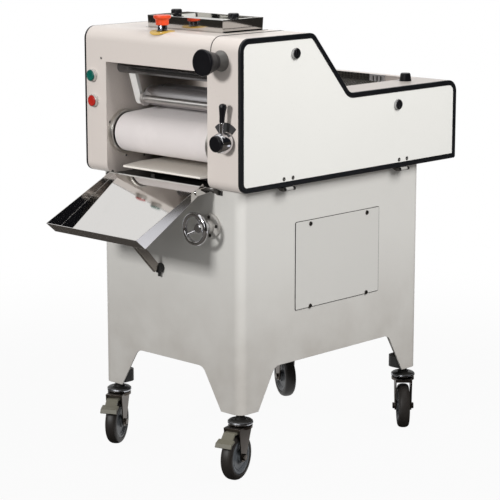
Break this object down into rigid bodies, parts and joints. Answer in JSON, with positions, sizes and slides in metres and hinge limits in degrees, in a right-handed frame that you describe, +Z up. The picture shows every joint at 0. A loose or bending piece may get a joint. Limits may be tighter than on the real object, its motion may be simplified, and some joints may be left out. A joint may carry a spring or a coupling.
{
  "type": "dough moulder",
  "caption": "Floor-standing dough moulder on casters: sheeting rollers under a hopper, belt over a pressing board, hinged side cover, discharge tray and gap controls.",
  "frame": {"origin": "on the floor under the middle of the overall box in X and Y", "axes": "+Z up, the front with the tray and the controls faces -Y, +X to the hinged side cover"},
  "size_m": [0.5903, 1.1071, 1.192],
  "materials": {
    "cream_paint": "satin",
    "ivory_paint": "satin",
    "grey_paint": "satin",
    "dark_paint": "satin",
    "white_paint": "satin",
    "olive_paint": "satin",
    "black_rubber": "matte",
    "tyre_rubber": "matte",
    "stainless": "brushed",
    "bright_steel": "polished",
    "chrome": "polished",
    "cast_iron": "matte",
    "belt_cloth": "matte",
    "cream_plastic": "matte",
    "pale_plastic": "matte",
    "black_plastic": "gloss",
    "red_plastic": "gloss",
    "green_plastic": "gloss",
    "yellow_plastic": "satin",
    "grey_plastic": "satin"
  },
  "bodies": {
    "frame": {"base_cabinet": "grey_paint", "access_panel": "grey_paint", "caster_tops": "chrome", "left_side_plate": "cream_paint", "right_side_plate": "cream_paint", "cross_bars": "bright_steel", "guard_arms": "white_paint", "head_shell": "cream_paint", "right_housing": "cream_paint", "rear_deck": "cream_paint", "left_cover": "ivory_paint", "left_cover_trim": "black_rubber", "hopper": "stainless", "bearing_flanges": "bright_steel", "belt": "belt_cloth", "chain_mesh": "stainless", "button_bezels": "chrome", "estop_base": "yellow_plastic", "lever_index_plate": "dark_paint", "control_bushes": "grey_plastic", "hinge_brackets": "bright_steel", "drive_motor": "dark_paint", "drive_chain": "cast_iron"},
    "front_drum": {"front_drum": "bright_steel"},
    "rear_drum": {"rear_drum": "bright_steel"},
    "lower_front_roller": {"lower_front_roller": "bright_steel"},
    "lower_rear_roller": {"lower_rear_roller": "bright_steel"},
    "upper_front_roller": {"upper_front_roller": "bright_steel"},
    "upper_rear_roller": {"upper_rear_roller": "bright_steel"},
    "lower_blocks": {"lower_bearing_blocks": "cast_iron"},
    "upper_blocks": {"upper_bearing_blocks": "cast_iron"},
    "motor_sprocket": {"motor_sprocket": "cast_iron"},
    "gap_knob": {"gap_knob": "black_plastic"},
    "gap_lever": {"gap_lever": "chrome", "lever_grip": "black_plastic"},
    "handwheel": {"handwheel": "chrome"},
    "board": {"pressing_board": "cream_plastic", "board_carrier": "dark_paint"},
    "right_cover": {"right_cover": "ivory_paint", "right_cover_trim": "black_rubber"},
    "cover_lock_front": {"cover_lock_front": "black_plastic"},
    "cover_lock_rear": {"cover_lock_rear": "black_plastic"},
    "tray": {"discharge_tray": "stainless", "tray_prop": "stainless"},
    "estop_button": {"estop_button": "red_plastic"},
    "start_button": {"start_button": "green_plastic"},
    "stop_button": {"stop_button": "red_plastic"},
    "guide_left": {"guide_left": "pale_plastic"},
    "guide_right": {"guide_right": "pale_plastic"},
    "deck_knob": {"deck_knob": "black_plastic"},
    "caster_fork_front_left": {"caster_fork_front_left": "bright_steel"},
    "caster_wheel_front_left": {"caster_wheel_front_left": "tyre_rubber"},
    "brake_pedal_front_left": {"brake_pedal_front_left": "olive_paint"},
    "caster_fork_front_right": {"caster_fork_front_right": "bright_steel"},
    "caster_wheel_front_right": {"caster_wheel_front_right": "tyre_rubber"},
    "brake_pedal_front_right": {"brake_pedal_front_right": "olive_paint"},
    "caster_fork_rear_left": {"caster_fork_rear_left": "bright_steel"},
    "caster_wheel_rear_left": {"caster_wheel_rear_left": "tyre_rubber"},
    "caster_fork_rear_right": {"caster_fork_rear_right": "bright_steel"},
    "caster_wheel_rear_right": {"caster_wheel_rear_right": "tyre_rubber"}
  },
  "joints": [
    {"name": "front_drum_spin", "type": "hinge", "parent": "frame", "child": "front_drum", "pos_m": [-0.0155, -0.25, 0.868], "axis": [1, 0, 0], "continuous": true},
    {"name": "rear_drum_spin", "type": "hinge", "parent": "frame", "child": "rear_drum", "pos_m": [-0.0155, 0.455, 0.887], "axis": [1, 0, 0], "continuous": true},
    {"name": "lower_front_spin", "type": "hinge", "parent": "frame", "child": "lower_front_roller", "pos_m": [-0.0155, -0.164, 0.958], "axis": [1, 0, 0], "continuous": true},
    {"name": "upper_front_spin", "type": "hinge", "parent": "frame", "child": "upper_front_roller", "pos_m": [-0.0155, -0.17, 1.078], "axis": [1, 0, 0], "continuous": true},
    {"name": "lower_gap_slide", "type": "slide", "parent": "frame", "child": "lower_blocks", "axis": [0, 1, 0], "range_m": [-0.002, 0.002]},
    {"name": "upper_gap_slide", "type": "slide", "parent": "frame", "child": "upper_blocks", "axis": [0, 1, 0], "range_m": [-0.002, 0.006]},
    {"name": "lower_rear_spin", "type": "hinge", "parent": "lower_blocks", "child": "lower_rear_roller", "pos_m": [-0.0155, -0.104, 0.958], "axis": [1, 0, 0], "continuous": true},
    {"name": "upper_rear_spin", "type": "hinge", "parent": "upper_blocks", "child": "upper_rear_roller", "pos_m": [-0.0155, -0.098, 1.078], "axis": [1, 0, 0], "continuous": true},
    {"name": "motor_sprocket_spin", "type": "hinge", "parent": "frame", "child": "motor_sprocket", "pos_m": [0.2, 0.1565, 0.552], "axis": [1, 0, 0], "continuous": true},
    {"name": "gap_knob_turn", "type": "hinge", "parent": "frame", "child": "gap_knob", "pos_m": [0.224, -0.3535, 1.089], "axis": [0, -1, 0], "range_deg": [-180, 540]},
    {"name": "gap_lever_swing", "type": "hinge", "parent": "frame", "child": "gap_lever", "pos_m": [0.245, -0.3335, 0.887], "axis": [0, -1, 0], "range_deg": [-35, 35]},
    {"name": "handwheel_turn", "type": "hinge", "parent": "frame", "child": "handwheel", "pos_m": [0.1585, -0.324, 0.66], "axis": [0, -1, 0], "range_deg": [-360, 360]},
    {"name": "board_lift", "type": "slide", "parent": "frame", "child": "board", "axis": [0, 0, 1], "range_m": [-0.01, 0.01]},
    {"name": "right_cover_hinge", "type": "hinge", "parent": "frame", "child": "right_cover", "pos_m": [0.289, 0.12, 0.753], "axis": [0, 1, 0], "range_deg": [0, 150]},
    {"name": "cover_lock_front_turn", "type": "hinge", "parent": "right_cover", "child": "cover_lock_front", "pos_m": [0.288, -0.112, 1.098], "axis": [1, 0, 0], "range_deg": [0, 90]},
    {"name": "cover_lock_rear_turn", "type": "hinge", "parent": "right_cover", "child": "cover_lock_rear", "pos_m": [0.288, 0.297, 0.932], "axis": [1, 0, 0], "range_deg": [0, 90]},
    {"name": "tray_hinge", "type": "hinge", "parent": "frame", "child": "tray", "pos_m": [-0.0055, -0.305, 0.757], "axis": [-1, 0, 0], "range_deg": [0, 31]},
    {"name": "estop_press", "type": "slide", "parent": "frame", "child": "estop_button", "axis": [0, 0, -1], "range_m": [0, 0.005], "stiffness_N_per_m": 1000},
    {"name": "start_press", "type": "slide", "parent": "frame", "child": "start_button", "axis": [0, 1, 0], "range_m": [0, 0.004], "stiffness_N_per_m": 800},
    {"name": "stop_press", "type": "slide", "parent": "frame", "child": "stop_button", "axis": [0, 1, 0], "range_m": [0, 0.004], "stiffness_N_per_m": 800},
    {"name": "guide_left_slide", "type": "slide", "parent": "frame", "child": "guide_left", "axis": [1, 0, 0], "range_m": [-0.012, 0.05]},
    {"name": "guide_right_slide", "type": "slide", "parent": "frame", "child": "guide_right", "axis": [-1, 0, 0], "range_m": [-0.012, 0.05]},
    {"name": "deck_knob_turn", "type": "hinge", "parent": "frame", "child": "deck_knob", "pos_m": [0.209, 0.426, 0.985], "axis": [0, 0, 1], "continuous": true},
    {"name": "caster_swivel_front_left", "type": "hinge", "parent": "frame", "child": "caster_fork_front_left", "pos_m": [-0.233, -0.256, 0.142], "axis": [0, 0, 1], "continuous": true},
    {"name": "caster_roll_front_left", "type": "hinge", "parent": "caster_fork_front_left", "child": "caster_wheel_front_left", "pos_m": [-0.22137, -0.27699, 0.0625], "axis": [0.8746, 0.4848, 0], "continuous": true},
    {"name": "brake_pedal_front_left_press", "type": "hinge", "parent": "caster_fork_front_left", "child": "brake_pedal_front_left", "pos_m": [-0.21458, -0.28924, 0.1297], "axis": [0.8746, 0.4848, 0], "range_deg": [0, 8]},
    {"name": "caster_swivel_front_right", "type": "hinge", "parent": "frame", "child": "caster_fork_front_right", "pos_m": [0.233, -0.256, 0.142], "axis": [0, 0, 1], "continuous": true},
    {"name": "caster_roll_front_right", "type": "hinge", "parent": "caster_fork_front_right", "child": "caster_wheel_front_right", "pos_m": [0.23961, -0.27907, 0.0625], "axis": [0.9613, 0.2756, 0], "continuous": true},
    {"name": "brake_pedal_front_right_press", "type": "hinge", "parent": "caster_fork_front_right", "child": "brake_pedal_front_right", "pos_m": [0.24347, -0.29253, 0.1297], "axis": [0.9613, 0.2756, 0], "range_deg": [0, 8]},
    {"name": "caster_swivel_rear_left", "type": "hinge", "parent": "frame", "child": "caster_fork_rear_left", "pos_m": [-0.233, 0.406, 0.142], "axis": [0, 0, 1], "continuous": true},
    {"name": "caster_roll_rear_left", "type": "hinge", "parent": "caster_fork_rear_left", "child": "caster_wheel_rear_left", "pos_m": [-0.21181, 0.39473, 0.0625], "axis": [0.4695, 0.8829, 0], "continuous": true},
    {"name": "caster_swivel_rear_right", "type": "hinge", "parent": "frame", "child": "caster_fork_rear_right", "pos_m": [0.233, 0.406, 0.142], "axis": [0, 0, 1], "continuous": true},
    {"name": "caster_roll_rear_right", "type": "hinge", "parent": "caster_fork_rear_right", "child": "caster_wheel_rear_right", "pos_m": [0.24967, 0.38874, 0.0625], "axis": [0.7193, 0.6947, 0], "continuous": true}
  ],
  "couplings": [
    {"joint": "rear_drum_spin", "follows": "front_drum_spin", "ratio": 0.73239},
    {"joint": "motor_sprocket_spin", "follows": "front_drum_spin", "ratio": 0.97653},
    {"joint": "lower_front_spin", "follows": "front_drum_spin", "ratio": 1.25},
    {"joint": "lower_rear_spin", "follows": "front_drum_spin", "ratio": -1.25},
    {"joint": "upper_front_spin", "follows": "front_drum_spin", "ratio": 1.25},
    {"joint": "upper_rear_spin", "follows": "front_drum_spin", "ratio": -1.25},
    {"joint": "gap_knob_turn", "follows": "upper_gap_slide", "rad_per_m": 1570},
    {"joint": "gap_lever_swing", "follows": "lower_gap_slide", "rad_per_m": 305},
    {"joint": "handwheel_turn", "follows": "board_lift", "rad_per_m": 628}
  ]
}
